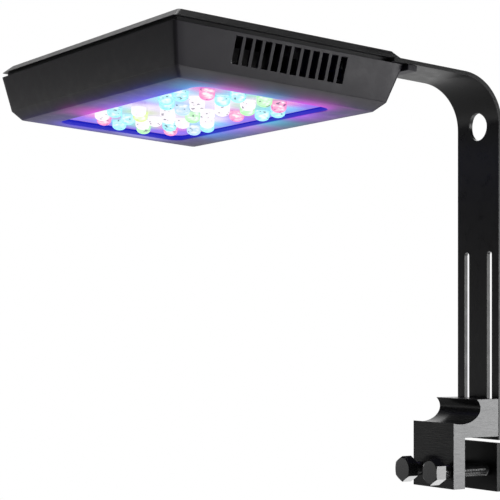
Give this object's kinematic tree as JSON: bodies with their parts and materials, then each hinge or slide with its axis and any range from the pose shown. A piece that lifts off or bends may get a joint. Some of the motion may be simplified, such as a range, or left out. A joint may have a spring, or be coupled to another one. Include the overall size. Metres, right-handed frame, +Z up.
{
  "type": "clamp-on led aquarium light",
  "caption": "Flat LED lamp head with domed lenses under it, on a bent flat-bar arm with height slots and a bolt clamp for the rim of a glass tank.",
  "frame": {"origin": "centre of the clamp's seat, the flat underside of the bridge that rests on the tank's rim", "axes": "+Z up; -X over the water, from the clamp towards the lamp head; +Y along the tank's rim, towards the lamp head's long side"},
  "size_m": [0.2838, 0.3084, 0.3389],
  "materials": {
    "cover_paint": "satin black",
    "housing_paint": "satin charcoal",
    "arm_paint": "satin black",
    "clamp_anodised": "black anodised, extruded",
    "black_nylon": "moulded",
    "plate_steel": "black",
    "rubber": "matt",
    "clear_acrylic": "clear, lit from behind",
    "white_board": "white solder mask",
    "green_board": "green solder mask",
    "bare_aluminium": "extruded",
    "fan_plastic": "moulded",
    "zinc_steel": "zinc plated",
    "black_screw": "black oxide",
    "wire_sheath": "extruded sheath"
  },
  "bodies": {
    "clamp": {"clamp_block": "clamp_anodised", "near_arm_washer": "zinc_steel", "near_arm_screw": "black_screw", "far_arm_washer": "zinc_steel", "far_arm_screw": "black_screw"},
    "lamp": {"arm_bar": "arm_paint", "arm_bracket": "housing_paint", "bracket_screw_1": "black_screw", "bracket_screw_2": "black_screw", "bracket_end_screw": "black_screw", "top_cover": "cover_paint", "housing": "housing_paint", "cover_spacer_1": "zinc_steel", "cover_spacer_2": "zinc_steel", "cover_spacer_3": "zinc_steel", "cover_spacer_4": "zinc_steel", "cover_screw_1": "black_screw", "cover_screw_2": "black_screw", "cover_screw_3": "black_screw", "cover_screw_4": "black_screw", "lens_panel_1": "clear_acrylic", "lens_panel_2": "clear_acrylic", "led_board": "white_board", "panel_gasket": "rubber", "heatsink": "bare_aluminium", "heatsink_screw_1": "zinc_steel", "heatsink_screw_2": "zinc_steel", "heatsink_screw_3": "zinc_steel", "heatsink_screw_4": "zinc_steel", "fan_frame_1": "fan_plastic", "fan_frame_2": "fan_plastic", "fan_screw_1": "black_screw", "fan_screw_2": "black_screw", "fan_screw_3": "black_screw", "fan_screw_4": "black_screw", "driver_board": "green_board", "driver_standoff_1": "zinc_steel", "driver_standoff_2": "zinc_steel", "driver_standoff_3": "zinc_steel", "driver_standoff_4": "zinc_steel", "power_socket": "fan_plastic", "power_socket_nut": "zinc_steel", "power_lead": "wire_sheath"},
    "rotor_1": {"fan_rotor_1": "fan_plastic"},
    "rotor_2": {"fan_rotor_2": "fan_plastic"},
    "plate": {"pressure_plate": "plate_steel", "pressure_pad": "rubber"},
    "near_bolt": {"near_clamp_bolt": "black_nylon", "near_bolt_clip": "zinc_steel"},
    "far_bolt": {"far_clamp_bolt": "black_nylon", "far_bolt_clip": "zinc_steel"}
  },
  "joints": [
    {"name": "arm_height", "type": "slide", "parent": "clamp", "child": "lamp", "axis": [0, 0, 1], "range_m": [-0.12, 0]},
    {"name": "fan_1_spin", "type": "hinge", "parent": "lamp", "child": "rotor_1", "pos_m": [-0.16486, 0.0754, 0.27579], "axis": [0.0769, 0, 0.997], "continuous": true},
    {"name": "fan_2_spin", "type": "hinge", "parent": "lamp", "child": "rotor_2", "pos_m": [-0.16486, 0.1834, 0.27579], "axis": [0.0769, 0, 0.997], "continuous": true},
    {"name": "plate_slide", "type": "slide", "parent": "clamp", "child": "plate", "axis": [1, 0, 0], "range_m": [-0.025, 0]},
    {"name": "near_bolt_turn", "type": "hinge", "parent": "plate", "child": "near_bolt", "pos_m": [0, -0.0172, -0.025], "axis": [1, 0, 0], "range_deg": [-6001, 1]},
    {"name": "far_bolt_turn", "type": "hinge", "parent": "plate", "child": "far_bolt", "pos_m": [0, 0.0172, -0.025], "axis": [1, 0, 0], "range_deg": [-6001, 1]}
  ],
  "couplings": [
    {"joint": "near_bolt_turn", "follows": "plate_slide", "rad_per_m": 4188.8},
    {"joint": "far_bolt_turn", "follows": "plate_slide", "rad_per_m": 4188.8}
  ]
}
